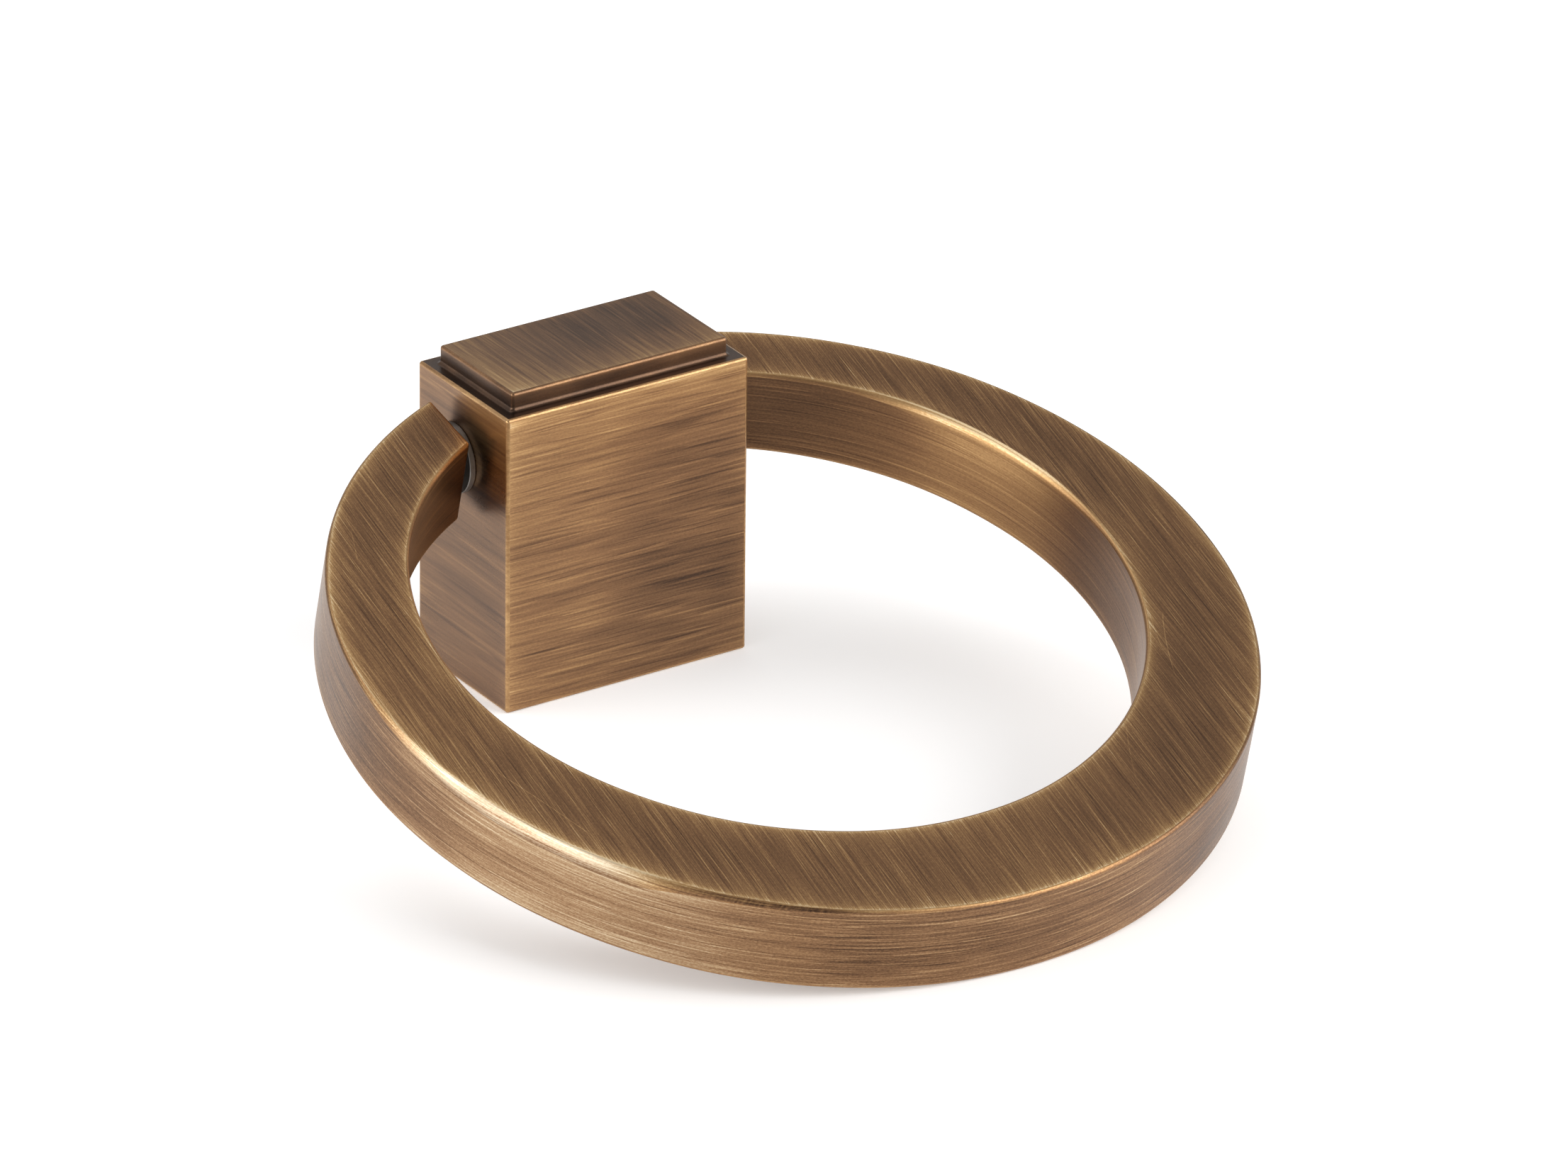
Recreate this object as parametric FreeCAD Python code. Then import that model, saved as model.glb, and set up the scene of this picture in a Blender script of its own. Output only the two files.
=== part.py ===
import FreeCAD, Part
import os
import math
from FreeCAD import Vector

# Ring pull handle: a solid brass post screwed to a drawer front from behind,
# and a flat ring that swings on a pin through the post.
# Millimetres. Origin: centre of the post's base, on the mounting plane z = 0.
# +Z out of the mounting plane, X along the pivot pin, the ring lies towards -Y.

# ---------------------------------------------------------------- dimensions
POST_W = 23.3            # post width along the pin (X)
POST_D = 13.7            # post depth (Y)
POST_H = 26.5            # mounting plane to the step
STEP = 1.25              # width of the step round the top pad
PAD_H = 1.6              # height of the top pad above the step
COVE_R = 0.35            # concave fillet where the pad meets the step
POST_EDGE_R = 0.30       # rounding of the post's long edges
PAD_EDGE_R = 0.25        # rounding of the pad's edges

PIVOT_Y = 0.9            # pin axis, a little behind the middle of the post
PIVOT_Z = 20.2           # pin axis above the mounting plane
PIN_R = 1.5              # pivot pin radius
PIN_CHAMFER = 0.25
PIN_ENGAGE = 2.7         # how far the pin reaches into each ring end
RING_BORE_R = 1.55       # running fit on the pin
RING_BORE_DEPTH = 2.9

RING_RO = 38.0           # outer circle
RING_RI = 29.92          # inner circle
RING_T = 7.85            # thickness
RING_C = 32.6            # pin axis to the outer circle's centre
RING_ECC = -2.42         # inner circle's centre, from the outer one, away from the front
RING_END_X = 12.75       # flat ends, parallel to the post's sides
RING_EDGE_R = 0.42       # rounding of the ring's edges

WASHER_RO = 3.0
WASHER_RI = 1.6
WASHER_T = 0.6
WASHER_EDGE_R = 0.08

SCREW_HOLE_R = 1.65      # tapped hole for an M4 screw, at the thread's core
SCREW_HOLE_DEPTH = 12.0
DRILL_POINT_DEG = 118.0

# The ring's tilt where its front edge rests on the mounting plane:
# (c + Ro - r) sin(a) + (t/2 - r) cos(a) = z_pin - r
_A = RING_C + RING_RO - RING_EDGE_R
_B = RING_T / 2.0 - RING_EDGE_R
_C = PIVOT_Z - RING_EDGE_R
REST_TILT_DEG = math.degrees(math.asin(_C / math.hypot(_A, _B)) - math.atan2(_B, _A))

os.makedirs("parts", exist_ok=True)


def edges_where(shape, test):
    return [e for e in shape.Edges if test(e)]


def bb(e):
    b = e.BoundBox
    return b.XMin, b.XMax, b.YMin, b.YMax, b.ZMin, b.ZMax


def near(a, b, tol=1e-4):
    return abs(a - b) < tol


# ---------------------------------------------------------------------- post
block = Part.makeBox(POST_W, POST_D, POST_H, Vector(-POST_W / 2, -POST_D / 2, 0))
pad_w = POST_W - 2 * STEP
pad_d = POST_D - 2 * STEP
pad = Part.makeBox(pad_w, pad_d, PAD_H, Vector(-pad_w / 2, -pad_d / 2, POST_H))
post = block.fuse(pad).removeSplitter()

# long edges of the block: uprights, the rim of the step, the foot
post = post.makeFillet(POST_EDGE_R, edges_where(
    post, lambda e: (near(bb(e)[4], 0) and near(bb(e)[5], POST_H))
    or (near(bb(e)[4], 0) and near(bb(e)[5], 0))
    or (near(bb(e)[4], POST_H) and near(bb(e)[5], POST_H)
        and (near(abs(bb(e)[0]), POST_W / 2) and near(bb(e)[0], bb(e)[1])
             or near(abs(bb(e)[2]), POST_D / 2) and near(bb(e)[2], bb(e)[3])))))
# the pad's uprights and its upper rim
post = post.makeFillet(PAD_EDGE_R, edges_where(
    post, lambda e: near(bb(e)[5], POST_H + PAD_H)
    and (near(bb(e)[4], POST_H) or near(bb(e)[4], POST_H + PAD_H))))
# the cove at the foot of the pad
post = post.makeFillet(COVE_R, edges_where(
    post, lambda e: near(bb(e)[4], POST_H) and near(bb(e)[5], POST_H)
    and abs(bb(e)[0]) < POST_W / 2 - STEP + 0.05 and abs(bb(e)[1]) < POST_W / 2 - STEP + 0.05
    and abs(bb(e)[2]) < POST_D / 2 - STEP + 0.05 and abs(bb(e)[3]) < POST_D / 2 - STEP + 0.05))

# cross hole for the pin, and the tapped hole in the foot with its drill point
cross_hole = Part.makeCylinder(PIN_R, POST_W + 4, Vector(-POST_W / 2 - 2, PIVOT_Y, PIVOT_Z), Vector(1, 0, 0))
screw_hole = Part.makeCylinder(SCREW_HOLE_R, SCREW_HOLE_DEPTH, Vector(0, 0, 0), Vector(0, 0, 1))
point_h = SCREW_HOLE_R / math.tan(math.radians(DRILL_POINT_DEG / 2))
drill_point = Part.makeCone(SCREW_HOLE_R, 0, point_h, Vector(0, 0, SCREW_HOLE_DEPTH), Vector(0, 0, 1))
post = post.cut(cross_hole).cut(screw_hole.fuse(drill_point))

# ---------------------------------------------------------------------- ring
# Drawn flat about the pin axis: the ring's own plane is XY, its centre at -Y.
outer = Part.makeCylinder(RING_RO, RING_T, Vector(0, -RING_C, -RING_T / 2))
inner = Part.makeCylinder(RING_RI, RING_T + 2, Vector(0, -(RING_C + RING_ECC), -RING_T / 2 - 1))
gap = Part.makeBox(2 * RING_END_X, 16, RING_T + 2, Vector(-RING_END_X, -8, -RING_T / 2 - 1))
ring = outer.cut(inner).cut(gap)
ring = ring.Solids[0]
ring = ring.makeFillet(RING_EDGE_R, [e for e in ring.Edges if not (
    len(e.Vertexes) == 2 and near(e.BoundBox.XLength, 0, 1e-3) and near(e.BoundBox.YLength, 0, 1e-3)
    and abs(e.BoundBox.XMin) > RING_END_X + 1)])
for side in (-1, 1):
    ring = ring.cut(Part.makeCylinder(
        RING_BORE_R, RING_BORE_DEPTH + 2, Vector(side * (RING_END_X - 2), 0, 0), Vector(side, 0, 0)))
ring.rotate(Vector(0, 0, 0), Vector(1, 0, 0), REST_TILT_DEG)
ring.translate(Vector(0, PIVOT_Y, PIVOT_Z))

# ----------------------------------------------------------------------- pin
pin_half = RING_END_X + PIN_ENGAGE
pin = Part.makeCylinder(PIN_R, 2 * pin_half, Vector(-pin_half, PIVOT_Y, PIVOT_Z), Vector(1, 0, 0))
pin = pin.makeChamfer(PIN_CHAMFER, [e for e in pin.Edges if near(e.BoundBox.XLength, 0, 1e-3)])

# ------------------------------------------------------------------- washers


def washer(side):
    start = Vector(side * POST_W / 2, PIVOT_Y, PIVOT_Z)
    w = Part.makeCylinder(WASHER_RO, WASHER_T, start, Vector(side, 0, 0)).cut(
        Part.makeCylinder(WASHER_RI, WASHER_T, start, Vector(side, 0, 0)))
    rims = [e for e in w.Edges if near(e.BoundBox.XLength, 0, 1e-3) and e.BoundBox.YLength > 2 * WASHER_RI + 1]
    return w.makeFillet(WASHER_EDGE_R, rims)


nodes = {
    "post": post,
    "ring": ring,
    "pivot_pin": pin,
    "washer_left": washer(-1),
    "washer_right": washer(1),
}

for name, shape in nodes.items():
    solid = shape if shape.ShapeType == "Solid" else shape.Solids[0]
    assert shape.isValid() and len(shape.Solids) == 1, name
    solid.exportStep("parts/%s.step" % name)
    b = solid.BoundBox
    print("%-13s volume %9.2f mm3  x %.2f..%.2f  y %.2f..%.2f  z %.3f..%.3f" % (
        name, solid.Volume, b.XMin, b.XMax, b.YMin, b.YMax, b.ZMin, b.ZMax))
print("rest tilt %.4f deg, swing %.3f deg" % (REST_TILT_DEG, 180 + 2 * REST_TILT_DEG))
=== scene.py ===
import math

import bpy
import numpy as np
from mathutils import Matrix, Vector

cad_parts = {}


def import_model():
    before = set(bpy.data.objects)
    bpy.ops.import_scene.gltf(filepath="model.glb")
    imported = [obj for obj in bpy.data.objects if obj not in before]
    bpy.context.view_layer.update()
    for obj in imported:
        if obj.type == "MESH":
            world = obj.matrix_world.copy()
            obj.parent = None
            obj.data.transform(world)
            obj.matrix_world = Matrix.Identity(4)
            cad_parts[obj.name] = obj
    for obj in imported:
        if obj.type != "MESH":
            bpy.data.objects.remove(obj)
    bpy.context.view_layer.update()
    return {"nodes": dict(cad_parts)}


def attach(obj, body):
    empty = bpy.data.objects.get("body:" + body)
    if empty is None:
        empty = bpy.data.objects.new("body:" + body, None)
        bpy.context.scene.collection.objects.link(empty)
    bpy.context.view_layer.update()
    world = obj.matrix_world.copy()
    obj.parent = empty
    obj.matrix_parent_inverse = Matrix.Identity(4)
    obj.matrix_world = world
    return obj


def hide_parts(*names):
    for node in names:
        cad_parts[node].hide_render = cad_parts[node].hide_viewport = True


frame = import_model()

MM = 0.001

# ------------------------------------------------------------ dimensions (mm)
POST_W, POST_D, POST_H = 23.3, 13.7, 26.5
STEP, PAD_H, COVE_R = 1.25, 1.6, 0.35
UPRIGHT_R, RIM_R, PAD_UPRIGHT_R, PAD_RIM_R = 0.27, 0.26, 0.28, 0.25
PIVOT_Y, PIVOT_Z = 0.9, 20.2
BORE_R, BORE_DEPTH = 1.55, 2.9
RO, RI, RING_T = 38.0, 29.92, 7.85
RING_C, RING_ECC, RING_END_X, RING_END_R = 32.6, -2.42, 12.75, 0.38
REST_TILT = math.radians(13.4904)
WASHER_RO, WASHER_RI, WASHER_T = 3.0, 1.6, 0.6
SCREW_R, SCREW_DEPTH = 1.65, 12.0

# the ring's own axes: V along the pin, U from the pin to the front, N out of its face
AX_V = np.array([1.0, 0.0, 0.0])
AX_U = np.array([0.0, -math.cos(REST_TILT), -math.sin(REST_TILT)])
AX_N = np.array([0.0, -math.sin(REST_TILT), math.cos(REST_TILT)])
PIVOT = np.array([0.0, PIVOT_Y, PIVOT_Z])


def smooth(x, a, b):
    t = np.clip((np.asarray(x, float) - a) / (b - a), 0.0, 1.0)
    return t * t * (3 - 2 * t)


def window(x, a0, a1, a2, a3):
    return smooth(x, a0, a1) * (1.0 - smooth(x, a2, a3))


# ------------------------------------------------------------- mesh assembler
class Builder:
    """Collects welded patches with their own corner normals and grain maps, in mm."""

    MAPS = ("grain", "edge", "place")

    def __init__(self):
        self.points, self.count = [], 0
        self.quad_idx, self.quad_nrm, self.quad_mat = [], [], []
        self.quad_uv = {m: [] for m in self.MAPS}
        self.polys = []

    def add(self, pts):
        pts = np.asarray(pts, float)
        flat = pts.reshape(-1, 3)
        idx = np.arange(self.count, self.count + len(flat)).reshape(pts.shape[:-1])
        self.points.append(flat)
        self.count += len(flat)
        return idx

    def quads(self, idx, nrm, maps, mat):
        allp = np.concatenate(self.points)
        lo, hi = slice(None, -1), slice(1, None)
        corners = [(lo, lo), (hi, lo), (hi, hi), (lo, hi)]
        q = np.stack([idx[c] for c in corners], -1).reshape(-1, 4)
        n = np.stack([nrm[c] for c in corners], -2).reshape(-1, 4, 3)
        p = allp[q]
        face_n = np.cross(p[:, 2] - p[:, 0], p[:, 3] - p[:, 1])
        flip = np.einsum("ij,ij->i", face_n, n.mean(1)).sum() < 0
        if flip:
            q, n = q[:, ::-1], n[:, ::-1]
        self.quad_idx.append(q)
        self.quad_nrm.append(n)
        self.quad_mat.append(np.full(len(q), mat))
        for m in self.MAPS:
            uv = maps.get(m)
            if uv is None:
                uv = np.zeros(idx.shape + (2,))
            uv = np.stack([uv[c] for c in corners], -2).reshape(-1, 4, 2)
            self.quad_uv[m].append(uv[:, ::-1] if flip else uv)

    def poly(self, idx, nrm, maps, mat):
        idx = list(idx)
        p = np.concatenate(self.points)[idx]
        area = np.zeros(3)
        for a, b in zip(p, np.roll(p, -1, axis=0)):
            area += np.cross(a, b)
        uv = {m: np.asarray(maps.get(m, np.zeros((len(idx), 2))), float) for m in self.MAPS}
        if area @ np.asarray(nrm) < 0:
            idx = idx[::-1]
            uv = {m: a[::-1] for m, a in uv.items()}
        self.polys.append((idx, np.asarray(nrm, float), uv, mat))

    def make(self, name, materials):
        pts = np.concatenate(self.points) * MM
        q = np.concatenate(self.quad_idx)
        faces = q.tolist() + [p[0] for p in self.polys]
        mesh = bpy.data.meshes.new(name)
        mesh.from_pydata(pts.tolist(), [], faces)
        mats = np.concatenate([np.concatenate(self.quad_mat), [p[3] for p in self.polys]]).astype(np.int32)
        for m in materials:
            mesh.materials.append(m)
        mesh.polygons.foreach_set("material_index", mats)
        for m in self.MAPS:
            layer = mesh.uv_layers.new(name=m)
            uv = [np.concatenate(self.quad_uv[m]).reshape(-1, 2)] + [p[2][m] for p in self.polys]
            layer.data.foreach_set("uv", np.concatenate(uv).astype(np.float32).ravel())
        mesh.polygons.foreach_set("use_smooth", np.ones(len(faces), bool))
        nrm = [np.concatenate(self.quad_nrm).reshape(-1, 3)]
        nrm += [np.tile(p[1], (len(p[0]), 1)) for p in self.polys]
        nrm = np.concatenate(nrm)
        nrm /= np.linalg.norm(nrm, axis=1, keepdims=True)
        mesh.update()
        mesh.normals_split_custom_set(nrm.tolist())
        ob = bpy.data.objects.new(name, mesh)
        bpy.context.scene.collection.objects.link(ob)
        return ob


# --------------------------------------------------------------- node helpers
class G:
    """Short-hand for building a material's nodes."""

    def __init__(self, name):
        self.mat = bpy.data.materials.new(name)
        self.mat.use_nodes = True
        self.nt = self.mat.node_tree
        self.bsdf = self.nt.nodes["Principled BSDF"]

    def put(self, sock, v):
        if isinstance(v, bpy.types.NodeSocket):
            self.nt.links.new(v, sock)
        else:
            sock.default_value = v

    def node(self, kind, **props):
        n = self.nt.nodes.new(kind)
        for k, v in props.items():
            setattr(n, k, v)
        return n

    def math(self, op, a, b=None, c=None, clamp=False):
        n = self.node("ShaderNodeMath", operation=op, use_clamp=clamp)
        for i, v in enumerate((a, b, c)):
            if v is not None:
                self.put(n.inputs[i], v)
        return n.outputs[0]

    def add(self, a, b):
        return self.math("ADD", a, b)

    def mul(self, a, b):
        return self.math("MULTIPLY", a, b)

    def uv(self, name):
        n = self.node("ShaderNodeUVMap", uv_map=name)
        s = self.node("ShaderNodeSeparateXYZ")
        self.nt.links.new(n.outputs[0], s.inputs[0])
        return s.outputs[0], s.outputs[1]

    def comb(self, x, y, z=0.0):
        n = self.node("ShaderNodeCombineXYZ")
        for i, v in enumerate((x, y, z)):
            self.put(n.inputs[i], v)
        return n.outputs[0]

    def noise(self, vec, scale=1.0, detail=2.0, rough=0.5, dist=0.0, lac=2.0):
        n = self.node("ShaderNodeTexNoise", noise_dimensions="3D")
        self.put(n.inputs["Vector"], vec)
        n.inputs["Scale"].default_value = scale
        n.inputs["Detail"].default_value = detail
        n.inputs["Roughness"].default_value = rough
        n.inputs["Lacunarity"].default_value = lac
        n.inputs["Distortion"].default_value = dist
        return n.outputs[0]

    def remap(self, v, a, b, c, d, kind="LINEAR"):
        n = self.node("ShaderNodeMapRange", interpolation_type=kind, clamp=True)
        for i, x in enumerate((v, a, b, c, d)):
            self.put(n.inputs[i], x)
        return n.outputs[0]

    def ramp(self, fac, stops, interp="LINEAR"):
        n = self.node("ShaderNodeValToRGB")
        cr = n.color_ramp
        cr.interpolation = interp
        while len(cr.elements) < len(stops):
            cr.elements.new(0.5)
        for e, (pos, col) in zip(cr.elements, stops):
            e.position = pos
            e.color = (*col, 1.0)
        self.put(n.inputs[0], fac)
        return n.outputs[0]

    def mix(self, fac, a, b, blend="MIX"):
        n = self.node("ShaderNodeMix", data_type="RGBA", blend_type=blend)
        self.put(n.inputs[0], fac)
        for i, v in ((6, a), (7, b)):
            self.put(n.inputs[i], v if isinstance(v, bpy.types.NodeSocket) else (*v, 1.0))
        return n.outputs[2]

    def streak(self, u, v, along, across, seed, detail=2.0, rough=0.5):
        """Brush marks: noise stretched along u. Values about -1..1."""
        vec = self.comb(self.mul(u, along), self.mul(v, across), seed)
        f = self.noise(vec, 1.0, detail, rough)
        return self.remap(f, 0.25, 0.75, -1.0, 1.0)

    def win(self, v, a0, a1, a2, a3):
        return self.mul(self.remap(v, a0, a1, 0.0, 1.0, "SMOOTHSTEP"), self.remap(v, a2, a3, 1.0, 0.0, "SMOOTHSTEP"))

    def fade(self, dist, width):
        """1 at an edge, falling off over about width."""
        return self.math("EXPONENT", self.mul(dist, -1.0 / width))

    def line(self, u, v, p0, p1, width, bend=0.0):
        """A single thin scratch from p0 to p1, bowed sideways by bend."""
        dx, dy = p1[0] - p0[0], p1[1] - p0[1]
        ln = math.hypot(dx, dy)
        dx, dy = dx / ln, dy / ln
        pu, pv = self.add(u, -p0[0]), self.add(v, -p0[1])
        x = self.add(self.mul(pu, dx), self.mul(pv, dy))
        y = self.add(self.mul(pu, -dy), self.mul(pv, dx))
        if bend:
            t = self.mul(x, 1.0 / ln)
            bow = self.mul(self.mul(t, self.math("SUBTRACT", 1.0, t)), 4.0 * bend)
            y = self.math("SUBTRACT", y, bow)
        across = self.remap(self.math("ABSOLUTE", y), 0.3 * width, width, 1.0, 0.0, "SMOOTHSTEP")
        along = self.win(x, 0.0, 0.12 * ln, 0.8 * ln, ln)
        return self.mul(across, along)


# colours of the finish, from bare dark patina to rubbed brass
BRASS = [
    (0.00, (0.040, 0.020, 0.011)),
    (0.22, (0.118, 0.060, 0.029)),
    (0.42, (0.218, 0.113, 0.052)),
    (0.60, (0.345, 0.193, 0.083)),
    (0.80, (0.545, 0.335, 0.148)),
    (1.00, (0.830, 0.640, 0.385)),
]
# paler colours: the rubbed wall's own paler tone, and at the top end a painted creamy highlight that stands in for the
# lacquer's reflection
PALE_AND_SHEEN = BRASS[:1] + [
    (0.22, (0.115, 0.060, 0.030)),
    (0.42, (0.215, 0.116, 0.058)),
    (0.60, (0.335, 0.202, 0.106)),
    (0.80, (0.490, 0.343, 0.203)),
    (1.00, (0.660, 0.530, 0.360)),
]
# paler and greyer still, for the lit band of the upper outer rounding: rubbed brass plus a painted creamy highlight
RUBBED_AND_SHEEN = PALE_AND_SHEEN[:3] + [
    (0.60, (0.350, 0.245, 0.155)),
    (0.80, (0.435, 0.345, 0.235)),
    (1.00, (0.530, 0.455, 0.335)),
]


def metal(name, base=0.45, layers=(), scratches=(), cloud=(0.06, 0.10), speckle=0.06, wear=(), rough=0.34,
          rough_var=0.07, aniso=0.55, coat=0.35, coat_rough=0.3, bumps=1.0, extra=None, stops=BRASS, pale=None,
          wobble=0.05):
    """Brushed, darkened and lacquered brass.

    layers:    (cycles/mm along the grain, cycles/mm across it, strength, bump height in micrometres, seed, detail,
               angle to the grain in degrees)
    scratches: (cycles/mm along, cycles/mm across, threshold, strength, bump, seed, angle) sparse single strokes
    wear:      (map, component, width mm, strength) brightening that fades away from an edge
    pale:      colours used in stops' place where extra's mask says so: worn finish, and a painted creamy highlight in lit bands
    """
    g = G(name)
    u0, v0 = g.uv("grain")
    # the strokes wander a little instead of running dead straight
    w = g.noise(g.comb(g.mul(u0, 0.05), g.mul(v0, 0.11), 3.7), 1.0, 1.0, 0.5)
    v = g.add(v0, g.mul(g.add(w, -0.5), wobble * 4.0))
    u = u0

    def turned(deg):
        if not deg:
            return u, v
        c, s = math.cos(math.radians(deg)), math.sin(math.radians(deg))
        return g.add(g.mul(u, c), g.mul(v, s)), g.add(g.mul(v, c), g.mul(u, -s))

    f, height = None, None
    for along, across, amp, bump, seed, detail, deg in layers:
        s = g.streak(*turned(deg), along, across, seed, detail, 0.55)
        f = g.mul(s, amp) if f is None else g.add(f, g.mul(s, amp))
        if bump:
            height = g.mul(s, bump) if height is None else g.add(height, g.mul(s, bump))
    for along, across, thr, amp, bump, seed, deg in scratches:
        s = g.streak(*turned(deg), along, across, seed, 1.0, 0.5)
        s = g.remap(s, thr, thr + 0.22, 0.0, 1.0, "SMOOTHSTEP")
        f = g.add(f, g.mul(s, amp))
        if bump:
            height = g.add(height, g.mul(s, bump))
    f = g.add(f, base)
    c = g.noise(g.comb(g.mul(u0, cloud[0]), g.mul(v0, cloud[0] * 1.5), 11.3), 1.0, 3.0, 0.55)
    c = g.remap(c, 0.25, 0.75, -1.0, 1.0)
    f = g.add(f, g.mul(c, cloud[1]))
    sp = g.noise(g.comb(g.mul(u0, 4.0), g.mul(v0, 8.0), 5.1), 1.0, 2.0, 0.7)
    sp = g.remap(sp, 0.25, 0.75, -1.0, 1.0)
    f = g.add(f, g.mul(sp, speckle))
    grit = g.noise(g.comb(g.mul(u0, 0.16), g.mul(v0, 2.6), 8.2), 1.0, 2.0, 0.6)
    grit = g.remap(grit, 0.3, 0.7, 0.55, 1.45)
    maps = {}
    for mp, comp, width, amp in wear:
        if mp not in maps:
            maps[mp] = g.uv(mp)
        d = maps[mp][comp] if width < 0.3 else g.mul(maps[mp][comp], grit)
        f = g.add(f, g.mul(g.fade(d, width), amp))
    rubbed = None
    if extra:
        f, height, *rubbed = extra(g, f, height, u0, v0)
    colour = g.ramp(f, stops)
    # extra's mask brings in the pale colours: partly the worn finish, partly a painted creamy highlight
    if rubbed and pale:
        colour = g.mix(rubbed[0], colour, g.ramp(f, pale))
    g.put(g.bsdf.inputs["Base Color"], colour)
    g.bsdf.inputs["Metallic"].default_value = 1.0
    r = g.math("SUBTRACT", rough, g.mul(sp, rough_var * 0.5))
    r = g.add(r, g.mul(c, rough_var))
    g.put(g.bsdf.inputs["Roughness"], r)
    g.bsdf.inputs["Anisotropic"].default_value = aniso
    g.bsdf.inputs["Anisotropic Rotation"].default_value = 0.25
    t = g.node("ShaderNodeTangent", direction_type="UV_MAP", uv_map="grain")
    g.put(g.bsdf.inputs["Tangent"], t.outputs[0])
    g.bsdf.inputs["Coat Weight"].default_value = coat
    g.bsdf.inputs["Coat Roughness"].default_value = coat_rough
    g.bsdf.inputs["Coat IOR"].default_value = 1.5
    if height is not None:
        b = g.node("ShaderNodeBump")
        b.inputs["Strength"].default_value = 1.0
        b.inputs["Distance"].default_value = 1e-6 * bumps
        g.put(b.inputs["Height"], height)
        g.put(g.bsdf.inputs["Normal"], b.outputs[0])
    return g.mat


# ------------------------------------------------------------------ ring mesh
GRAIN_TILT = math.radians(5.5)


def ring_radius(kind, a):
    """Rounding of the ring's long edges in mm, at the angle a (degrees from the front)."""
    a = np.asarray(a, float)
    wob = 0.030 * np.sin(np.radians(a * 5.3 + 40 * kind)) + 0.022 * np.sin(np.radians(a * 13.7 + 95 * kind))
    r = 0.33 + wob
    if kind == 0:
        # the outer upper edge was rubbed down further on the left of the front
        r = 0.27 + wob * 0.8
        r = r + 0.16 * window(a, -104, -82, -58, -42) + 0.13 * window(a, -62, -48, -36, -24)
        r = r + 0.08 * window(a, -84, -72, -58, -48)
    if kind == 3:
        # and the inner upper edge at the back on the right
        r = 0.30 + wob * 0.8 + 0.22 * window(a, 82, 104, 120, 142)
    return r


def ring_ease(kind, a):
    """How gently a rounding runs out into the wall: 1 is a plain arc."""
    a = np.asarray(a, float)
    e = np.ones_like(a)
    if kind == 0:
        e = e + 0.35 * window(a, -60, -48, -36, -22)
    if kind == 3:
        e = e + 1.3 * window(a, 84, 104, 118, 138)
    return e


def ring_flat(kind, a):
    """How far a rounding was rubbed to a flat band: 0 is none."""
    a = np.asarray(a, float)
    return window(a, -102, -82, -52, -42) if kind == 0 else np.zeros_like(a)


def rounding(r, ease, flat, rows):
    """Profile from the face to the wall: steps across the face and down the wall, normal angle, arc length."""
    m = 16 * rows
    t = np.linspace(0.0, 1.0, m + 1)
    beta = math.pi / 2 * (1.0 - (1.0 - t)[None, :] ** ease[:, None])
    band = np.radians(np.interp(t, (0.0, 0.07, 0.13, 0.52, 0.76, 1.0), (0.0, 42.0, 59.0, 68.0, 78.0, 90.0)))
    beta = beta + (band[None, :] - beta) * flat[:, None]
    mid = 0.5 * (beta[:, 1:] + beta[:, :-1])
    zero = np.zeros((len(r), 1))
    x = np.concatenate([zero, np.cumsum(np.cos(mid), 1)], 1)
    y = np.concatenate([zero, np.cumsum(np.sin(mid), 1)], 1)
    k = r[:, None] / x[:, -1:]
    return (x * k)[:, ::16], (y * k)[:, ::16], beta[:, ::16], k[:, 0] * m


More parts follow.
